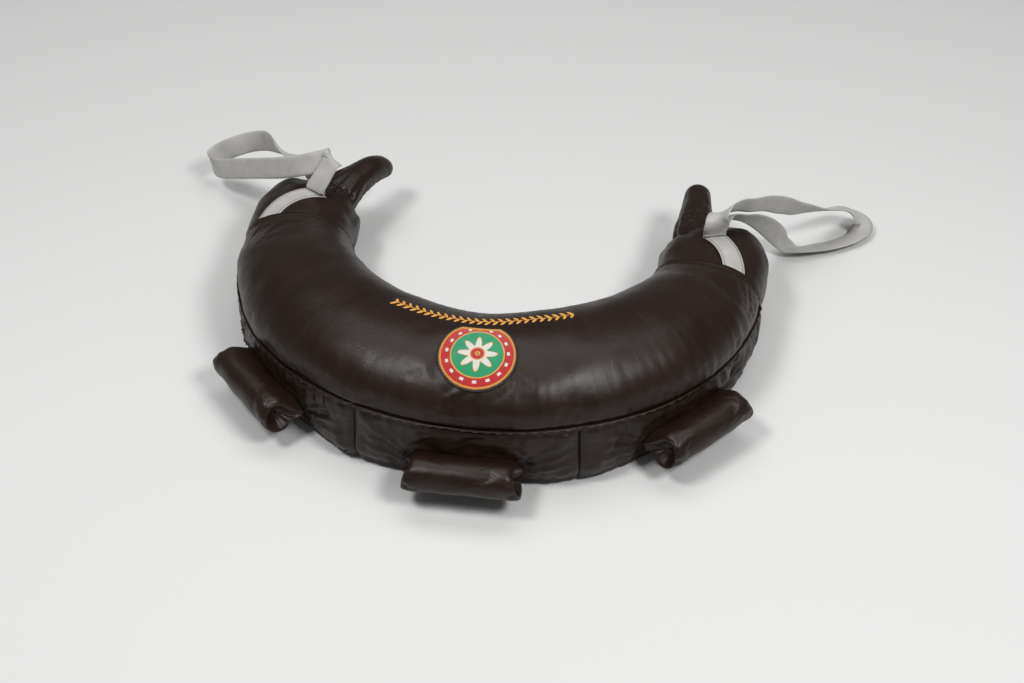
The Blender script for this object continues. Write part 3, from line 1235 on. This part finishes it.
RIGHT_LOOP_SHARES = (
    ((0.00, -0.02, 0.06), (0.93, 0.36, 0.03)),
    ((0.005, -0.015, 0.095), (0.98, 0.12, 0.06)),
    ((0.012, 0.003, 0.122), (0.90, -0.28, 0.28)),
    ((0.03, 0.03, 0.133), (0.64, -0.45, 0.58)),
    ((0.06, 0.07, 0.13), (0.35, -0.40, 0.85)),
    ((0.12, 0.13, 0.12), (0.15, -0.40, 0.90)),
    ((0.19, 0.20, 0.08), (0.05, -0.40, 0.90)),
    ((0.28, 0.31, 0.02), (0.00, -0.35, 0.92)),
    ((0.37, 0.41, -0.06), (-0.05, -0.30, 0.93)),
    ((0.46, 0.50, -0.14), (-0.05, -0.50, 0.85)),
    ((0.60, 0.67, -0.26), (0.10, -0.75, 0.65)),
    ((0.75, 0.85, -0.37), (0.10, -0.85, 0.45)),
    ((0.84, 0.87, -0.43), (-0.35, -0.90, 0.25)),
    ((0.88, 0.84, -0.47), (-0.95, -0.30, 0.05)),
    ((0.83, 0.76, -0.50), (-0.50, 0.85, -0.25)),
    ((0.72, 0.67, -0.50), (-0.45, 0.85, -0.32)),
    ((0.62, 0.62, -0.50), (-0.45, 0.85, -0.32)),
    ((0.51, 0.57, -0.49), (-0.35, 0.85, -0.35)),
    ((0.43, 0.57, -0.47), (0.00, 0.85, 0.20)),
    ((0.38, 0.56, -0.41), (0.30, 0.60, 0.70)),
    ((0.32, 0.50, -0.31), (0.60, 0.30, 0.65)),
    ((0.26, 0.41, -0.20), (0.70, 0.08, 0.60)),
    ((0.19, 0.30, -0.09), (0.72, -0.12, 0.58)),
    ((0.12, 0.18, 0.00), (0.74, -0.26, 0.56)),
    ((0.06, 0.11, 0.05), (0.74, -0.32, 0.58)),
    ((0.035, 0.075, 0.06), (0.88, -0.30, 0.34)),
    ((0.016, 0.05, 0.050), (0.98, 0.02, 0.10)),
    ((0.002, 0.025, 0.030), (0.93, 0.34, 0.02)),
)


def round_route(points, steps):
    """A smooth closed line through points, with a number of steps between each two."""
    t = np.arange(steps)[:, None] / steps
    parts = []
    for k in range(len(points)):
        before, first, last, after = (points[(k + j) % len(points)] for j in (-1, 0, 1, 2))
        squared = (2 * before - 5 * first + 4 * last - after) * t**2
        cubed = (3 * first - before - 3 * last + after) * t**3
        parts.append(0.5 * (2 * first + (last - before) * t + squared + cubed))
    return np.concatenate(parts)


def make_loop(where, shares):
    """A wrist loop: a closed ribbon of webbing along its route."""
    way = np.array(LOOP_WAYS[where]) / np.linalg.norm(LOOP_WAYS[where])
    layer = np.cross((0, 0, 1), way) * (WEB_THICKNESS + WEB_LAYER_GAP) / 2
    rise = np.array((0, 0, LOOP_RISE))
    places = [np.array((0, 0, -np.linalg.norm(layer))), -layer, -layer + rise]
    places += [np.array(place) * LOOP_REACH for place, _ in shares] + [layer + rise, layer]
    ways = [way] * 3 + [np.array(across) / np.linalg.norm(across) for _, across in shares] + [way, way]
    route = joint_place(f"loop_{where}_fold") + round_route(places, LOOP_STEPS)
    across = round_route(ways, LOOP_STEPS)
    forward = np.roll(route, -1, 0) - np.roll(route, 1, 0)
    forward /= np.linalg.norm(forward, axis=1)[:, None]
    across -= forward * np.sum(across * forward, 1)[:, None]
    across /= np.linalg.norm(across, axis=1)[:, None]
    steps = np.linspace(-0.5, 0.5, LOOP_COLUMNS)
    round_edge = 1 - 0.55 * np.clip((np.abs(steps) - 0.44) / 0.06, 0, 1) ** 2
    flat = route[:, None] + across[:, None] * (steps * WEB_WIDTH)[:, None]
    thick = np.cross(forward, across)[:, None] * (round_edge * WEB_THICKNESS / 2)[:, None]
    walk = walked(np.concatenate([route, route[:1]]), 0)
    strap = webbing_piece(f"wrist_webbing_{where}", flat + thick, flat - thick, walk, steps, True)
    dress(strap, f"loop_{where}", f"wrist_strap_{where}")


for (side, where), shares in zip(SIDES, (LEFT_LOOP_SHARES, RIGHT_LOOP_SHARES)):
    make_anchor(side, where)
    make_loop(where, shares)


# The round patch
# An embroidered badge 80 mm across, cut straight along its upper side, with a plain rosette in gold,
# red, green and white. It is sewn to the crown's outer side, and lies on its curve.

PATCH_RADIUS = 0.040
PATCH_THICKNESS = 0.0013
PATCH_CHORD = 0.033
PATCH_DOWN = 0.0226
PATCH_RINGS, PATCH_POINTS = 26, 144
CREST_STEPS = 400
GOLD = (0.72, 0.36, 0.065, 1)
PATCH_RED = (0.50, 0.012, 0.014, 1)
PATCH_GREEN = (0.012, 0.30, 0.125, 1)
PATCH_WHITE = (0.74, 0.71, 0.66, 1)
CREST_STEP = 0.001


def satin_badge(name):
    """Satin stitch in rings round a rosette of eight petals, each colour with its own lie of thread."""
    finish, add, coat = material(name)
    sum_up = partial(maths, add)
    surface = add("ShaderNodeUVMap", uv_map="surface").outputs["UV"]
    across, down, _ = add("ShaderNodeSeparateXYZ", {0: surface}).outputs
    wobble = noisy(add, surface, 900.0, 1.0)
    radius = add("ShaderNodeVectorMath", {0: surface}, operation="LENGTH").outputs["Value"]
    radius = sum_up("ADD", radius, sum_up("MULTIPLY", wobble, 0.0007))
    turn = sum_up("ARCTAN2", down, across)
    petals = sum_up("COSINE", sum_up("MULTIPLY", turn, 8.0))
    petal_edge = sum_up("ADD", 0.0145, sum_up("MULTIPLY", petals, 0.0050))
    dots = sum_up("GREATER_THAN", sum_up("COSINE", sum_up("MULTIPLY", turn, 16.0)), 0.55)
    on_ring = sum_up("LESS_THAN", sum_up("ABSOLUTE", sum_up("SUBTRACT", radius, 0.0310)), 0.0014)
    colour = add("ShaderNodeMix", {
        0: sum_up("MULTIPLY", dots, on_ring), 6: PATCH_RED, 7: PATCH_WHITE}, data_type="RGBA").outputs[2]
    for edge, tint in (
        (0.0275, GOLD), (0.0262, PATCH_GREEN), (sum_up("ADD", petal_edge, 0.0012), GOLD),
        (petal_edge, PATCH_WHITE), (0.0080, GOLD), (0.0068, PATCH_RED), (0.0030, GOLD),
    ):
        layer = {0: sum_up("LESS_THAN", radius, edge), 6: colour, 7: tint}
        colour = add("ShaderNodeMix", layer, data_type="RGBA").outputs[2]
    lie = sum_up("ADD", sum_up("MULTIPLY", across, 0.35), down)
    lie = sum_up("ADD", lie, sum_up("MULTIPLY", wobble, 0.0004))
    thread = sum_up("SINE", sum_up("MULTIPLY", lie, 9500.0))
    shade = add("ShaderNodeMapRange", {0: thread, 1: -1.0, 2: 1.0, 3: 0.72, 4: 1.06}).outputs[0]
    coat({
        "Base Color": add("ShaderNodeVectorMath", {0: colour, 1: shade}, operation="MULTIPLY").outputs[0],
        "Roughness": 0.55, "Sheen Weight": 0.15, "Normal": bumped(add, thread, 0.6, 0.0003),
    })
    return finish


def crown_spots(place, from_crest):
    """Points of the crown at distances from its crest, outward counted up, and the ways up from it."""
    place, from_crest = np.broadcast_arrays(np.asarray(place, float), np.asarray(from_crest, float))
    angles = np.linspace(0.05, math.pi - 0.05, CREST_STEPS)
    spots, ways = [], []
    for spot, distance in zip(place.ravel(), from_crest.ravel()):
        out, up = crown_point(np.full(CREST_STEPS, spot), angles)
        walk = np.concatenate([[0], np.cumsum(np.hypot(np.diff(out), np.diff(up)))])
        crest = np.interp(math.pi / 2, angles, walk)
        near = crest - distance + np.array((-CREST_STEP, 0, CREST_STEP))
        out, up = np.interp(near, walk, out), np.interp(near, walk, up)
        _, _, outward = middle(spot)
        way = outward * (up[2] - up[0]) + np.array((0, 0, out[0] - out[2]))
        spots.append(at(spot, out[1], up[1]))
        ways.append(way / np.linalg.norm(way))
    return np.array(spots), np.array(ways)


def patch_outline(share, turn):
    """Places on the patch, from its middle: x along the crescent and y down the crown."""
    return PATCH_RADIUS * np.cos(turn) * share, np.maximum(PATCH_RADIUS * np.sin(turn), -PATCH_CHORD) * share


def patch_spots(x, y):
    """The points of the crown under places of the patch, and the ways up from it."""
    widened = ARC_RADIUS / (ARC_RADIUS + HALF_WIDTH * 0.35)
    spots, ways = crown_spots(PATCH_PLACE + x.ravel() * widened, PATCH_DOWN + y.ravel())
    return spots.reshape(*x.shape, 3), ways.reshape(*x.shape, 3)


turns = np.linspace(0, 2 * math.pi, PATCH_POINTS, endpoint=False)
turn, share = np.meshgrid(turns, np.linspace(0.02, 1, PATCH_RINGS))
x, y = patch_outline(share, turn)
spots, ways = patch_spots(x, y)
seat = laid(spots.reshape(-1, 3), ways.reshape(-1, 3), 0.0002).reshape(spots.shape)
rounding = 1 - 0.5 * np.clip((share - 0.94) / 0.06, 0, 1) ** 2
top = seat + ways * (PATCH_THICKNESS * rounding)[..., None]
points = np.concatenate([top.reshape(-1, 3), seat.reshape(-1, 3), [top[0].mean(0), seat[0].mean(0)]])
count = PATCH_RINGS * PATCH_POINTS
faces = grid_faces(PATCH_RINGS, PATCH_POINTS, True).tolist()
faces += grid_faces(PATCH_RINGS, PATCH_POINTS, True, count)[:, ::-1].tolist()
for k in range(PATCH_POINTS):
    after = (k + 1) % PATCH_POINTS
    rim, rim_after = count - PATCH_POINTS + k, count - PATCH_POINTS + after
    faces.append([rim, rim + count, rim_after + count, rim_after])
    faces += [[after, k, 2 * count], [count + k, count + after, 2 * count + 1]]
if np.cross(top[3, 1] - top[3, 0], top[4, 0] - top[3, 0]) @ ways[3, 0] > 0:
    faces = [face[::-1] for face in faces]
flat = np.stack([x, y], -1).reshape(-1, 2)
flat = np.concatenate([flat, flat, np.zeros((2, 2))])
badge = mesh_piece("patch_badge", points, faces, satin_badge("satin_badge"), flat)
dress(badge, "bag", "round_patch")


# The stitches
# Waxed thread through the hides' edges, a whipped root on each grip, dark thread along both edges of
# the webbing, the patch's overlocked edge and a garland of stem and leaves along the crescent.

STITCH_SIDES, STITCH_RINGS, STITCH_SEED = 8, 5, 7


def thread(name, dark, light, roughness=0.6):
    """Twisted thread: fine slanted plies in two tones."""
    finish, add, coat = material(name)
    place = add("ShaderNodeTexCoord").outputs["Object"]
    waves = {"Vector": place, "Scale": 520.0, "Distortion": 1.5}
    plies = add("ShaderNodeTexWave", waves, bands_direction="DIAGONAL").outputs["Fac"]
    tones = shaded(add, plies, dark, light)
    coat({"Base Color": tones, "Roughness": roughness, "Normal": bumped(add, plies, 0.4, 0.0002)})
    return finish


def stitch_tree():
    """Geometry Nodes: a stitch at every step along each seam line, lying along it on its way up."""
    tree = bpy.data.node_groups.new("stitches", "GeometryNodeTree")
    add = adder(tree)
    face = tree.interface
    face.new_socket("Seam lines", in_out="INPUT", socket_type="NodeSocketGeometry")
    for name in ("Step", "Length", "Width", "Height", "Slant", "Uneven"):
        face.new_socket(name, in_out="INPUT", socket_type="NodeSocketFloat")
    face.new_socket("Thread", in_out="INPUT", socket_type="NodeSocketMaterial")
    face.new_socket("Stitches", in_out="OUTPUT", socket_type="NodeSocketGeometry")

    given = add("NodeGroupInput").outputs
    lines = add("GeometryNodeMeshToCurve", {"Mesh": given["Seam lines"]}).outputs[0]
    steps = {"Curve": lines, "Length": given["Step"]}
    steps = add("GeometryNodeResampleCurve", steps, mode="LENGTH").outputs[0]
    tangent = add("GeometryNodeInputTangent").outputs[0]
    upward = add("GeometryNodeInputNamedAttribute", {"Name": "way_up"}, data_type="FLOAT_VECTOR").outputs[0]
    lying = add("FunctionNodeAlignRotationToVector", {"Vector": tangent}, axis="X").outputs[0]
    facing = {"Rotation": lying, "Vector": upward}
    facing = add("FunctionNodeAlignRotationToVector", facing, axis="Z", pivot_axis="X").outputs[0]
    less = maths(add, "MULTIPLY", given["Uneven"], -1.0)
    drift = {2: less, 3: given["Uneven"], 8: STITCH_SEED}
    drift = add("FunctionNodeRandomValue", drift, data_type="FLOAT").outputs[1]
    turn = add("ShaderNodeCombineXYZ", {2: maths(add, "ADD", given["Slant"], drift)}).outputs[0]
    turn = add("FunctionNodeEulerToRotation", {0: turn}).outputs[0]
    turned = add("FunctionNodeRotateRotation", {0: facing, 1: turn}, rotation_space="LOCAL").outputs[0]
    stitch = {"Segments": STITCH_SIDES, "Rings": STITCH_RINGS, "Radius": 0.5}
    stitch = add("GeometryNodeMeshUVSphere", stitch).outputs[0]
    size = add("ShaderNodeCombineXYZ", {0: given["Length"], 1: given["Width"], 2: given["Height"]}).outputs[0]
    sewn = {"Points": steps, "Instance": stitch, "Rotation": turned, "Scale": size}
    sewn = add("GeometryNodeInstanceOnPoints", sewn).outputs[0]
    real = add("GeometryNodeRealizeInstances", {0: sewn}).outputs[0]
    smooth = add("GeometryNodeSetShadeSmooth", {0: real}).outputs[0]
    done = add("GeometryNodeSetMaterial", {"Geometry": smooth, "Material": given["Thread"]}).outputs[0]
    add("NodeGroupOutput", {0: done})
    return tree


STITCHES = stitch_tree()


def sew(name, lines, body, slot, finish, step, size, slant, uneven):
    """Rows of stitches along lines of (points, ways up), as one mesh that rides on a body."""
    points, ways = (np.concatenate(part) for part in zip(*lines))
    edges, start = [], 0
    for line, _ in lines:
        edges += [(start + k, start + k + 1) for k in range(len(line) - 1)]
        start += len(line)
    mesh = bpy.data.meshes.new(f"{name}_lines")
    mesh.from_pydata(points.tolist(), edges, [])
    upward = mesh.attributes.new("way_up", "FLOAT_VECTOR", "POINT")
    upward.data.foreach_set("vector", ways.astype(np.float32).ravel())
    line_piece = bpy.data.objects.new(f"{name}_lines", mesh)
    bpy.context.scene.collection.objects.link(line_piece)
    rows = line_piece.modifiers.new("stitches", "NODES")
    rows.node_group = STITCHES
    values = {
        "Step": step, "Length": size[0], "Width": size[1], "Height": size[2],
        "Slant": math.radians(slant), "Uneven": math.radians(uneven), "Thread": finish,
    }
    for socket in STITCHES.interface.items_tree:
        if socket.name in values:
            rows[socket.identifier] = values[socket.name]
    depsgraph = bpy.context.evaluated_depsgraph_get()
    sewn_mesh = bpy.data.meshes.new_from_object(line_piece.evaluated_get(depsgraph), depsgraph=depsgraph)
    sewn_mesh.name = name
    bpy.data.objects.remove(line_piece)
    piece = bpy.data.objects.new(name, sewn_mesh)
    bpy.context.scene.collection.objects.link(piece)
    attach(piece, body)


def seam_line(places, laps, lift):
    """A line laid on the hide at places and laps of the skin, with its ways up."""
    place, lap = np.broadcast_arrays(np.asarray(places, float), np.asarray(laps, float))
    step = 0.004
    along = skin_point(place + step, lap) - skin_point(place - step, lap)
    around = skin_point(place, lap + step) - skin_point(place, lap - step)
    ways = np.cross(along, around)
    ways /= np.linalg.norm(ways, axis=-1, keepdims=True)
    return laid(skin_point(place, lap), ways, lift), ways


DARK_THREAD = thread("dark_thread", (0.006, 0.004, 0.003, 1), (0.020, 0.012, 0.009, 1))
BROWN_THREAD = thread("brown_thread", (0.030, 0.018, 0.013, 1), (0.115, 0.078, 0.060, 1), 0.45)
GOLD_THREAD = thread("gold_thread", (0.50, 0.22, 0.035, 1), GOLD, 0.45)
BLACK_THREAD = thread("black_thread", (0.010, 0.008, 0.007, 1), (0.022, 0.018, 0.016, 1), 0.5)
SIDE_STITCH_PITCH, SIDE_STITCH_ASIDE = 0.0072, 0.0034

seam_places = places_between(-top_end + 0.003, top_end - 0.003, 0.006)
panel_seams = [seam_line(seam_places, lap, 0.0) for lap in (1.016, 3.985)]
floor_seams = [seam_line(seam_places, lap, -0.0001) for lap in (3.06, 1.94)]
upright = []
for seams, first, last in ((OUTER_SEAMS, 3.06, 3.95), (INNER_SEAMS, 1.05, 1.94)):
    for seam in seams[1:3]:
        for aside in (-SIDE_STITCH_ASIDE, SIDE_STITCH_ASIDE):
            upright.append(seam_line(seam + aside, np.linspace(first, last, 16), 0.0001))
ends = [seam_line(side * (top_end - 0.0045), np.linspace(0.03, 0.97, 60), 0.0001) for side, _ in SIDES]
# Each seam's stitches: name, lines, thread, step, length, width and height, slant, unevenness
for name, lines, *look in (
    ("panel_stitches", panel_seams, BROWN_THREAD, STITCH_PITCH, (0.0070, 0.0012, 0.0007), 5.0, 4.0),
    ("floor_seam_stitches", floor_seams, DARK_THREAD, STITCH_PITCH, (0.0040, 0.0007, 0.0005), 0.0, 3.0),
    ("upright_seam_stitches", upright, DARK_THREAD, SIDE_STITCH_PITCH, (0.0040, 0.0008, 0.0007), 0.0, 6.0),
    ("end_seam_stitches", ends, DARK_THREAD, SIDE_STITCH_PITCH, (0.0044, 0.0008, 0.0007), 0.0, 6.0),
):
    sew(name, lines, "bag", "leather", *look)

turn = np.linspace(0, 2 * math.pi, 200)
for name, share, finish, step, size, slant in (
    ("patch_edge", 0.975, BLACK_THREAD, 0.00085, (0.0030, 0.0011, 0.0012), 82.0),
    ("patch_rope", 0.922, GOLD_THREAD, 0.00235, (0.0042, 0.0018, 0.0022), 44.0),
):
    spots, ways = patch_spots(*patch_outline(share, turn))
    line = laid(spots, ways, PATCH_THICKNESS + 0.0002)
    sew(name, [(line, ways)], "bag", "embroidery", finish, step, size, slant, 3.0)

GARLAND_START, GARLAND_END = -0.088, 0.120
GARLAND_FROM_CREST = -0.0265
LEAF_ASIDE, LEAF_PITCH, LEAF_SIZE, LEAF_SLANT = 0.0034, 0.0076, (0.0092, 0.0034, 0.0016), 52.0
# The garland's stem and the leaves at each side of it: place across, step, size, slant
GARLAND = (
    ("garland_stem", 0.0, 0.0034, (0.0036, 0.0010, 0.0011), 0.0),
    ("garland_leaves_outer", LEAF_ASIDE, LEAF_PITCH, LEAF_SIZE, LEAF_SLANT),
    ("garland_leaves_inner", -LEAF_ASIDE, LEAF_PITCH, LEAF_SIZE, -LEAF_SLANT),
)
places = places_between(GARLAND_START, GARLAND_END, 0.004)
for name, across, step, size, slant in GARLAND:
    spots, ways = crown_spots(places, GARLAND_FROM_CREST + across)
    sew(name, [(laid(spots, ways, 0.0), ways)], "bag", "embroidery", GOLD_THREAD, step, size, slant, 2.0)

up = np.array((0, 0, 1.0))
WHIP_SETBACK, WHIP_OUT, WHIP_UP, WHIP_SPOTS = 0.010, 0.0066, 0.0030, 24
for body, (hinge, along, outward) in GRIPS.items():
    shift = np.linspace(WHIP_SETBACK - GRIP_HALF, GRIP_HALF - WHIP_SETBACK, WHIP_SPOTS)
    spots = hinge + np.outer(shift, along) + outward * WHIP_OUT + up * WHIP_UP
    ways = np.tile(outward * 0.35 + up * 0.94, (WHIP_SPOTS, 1))
    name = f"grip_stitches_{body.removeprefix('grip_')}"
    sew(name, [(spots, ways)], body, "leather", BROWN_THREAD, 0.0085, (0.0058, 0.0010, 0.0010), 32.0, 5.0)

for side, where in SIDES:
    spots, ways = anchor_route(side, where, np.linspace(0.03, 0.97, 30))
    edges = []
    for share in (-0.40, 0.40):
        row = over_cuff(side, spots + ways * share * WEB_WIDTH, FIT_GAP + WEB_THICKNESS + 0.0001)
        edges.append((row, np.tile(up, (30, 1))))
    name = f"anchor_stitches_{where}"
    sew(name, edges, "bag", "webbing", BLACK_THREAD, 0.0034, (0.0026, 0.0008, 0.0006), 0.0, 4.0)
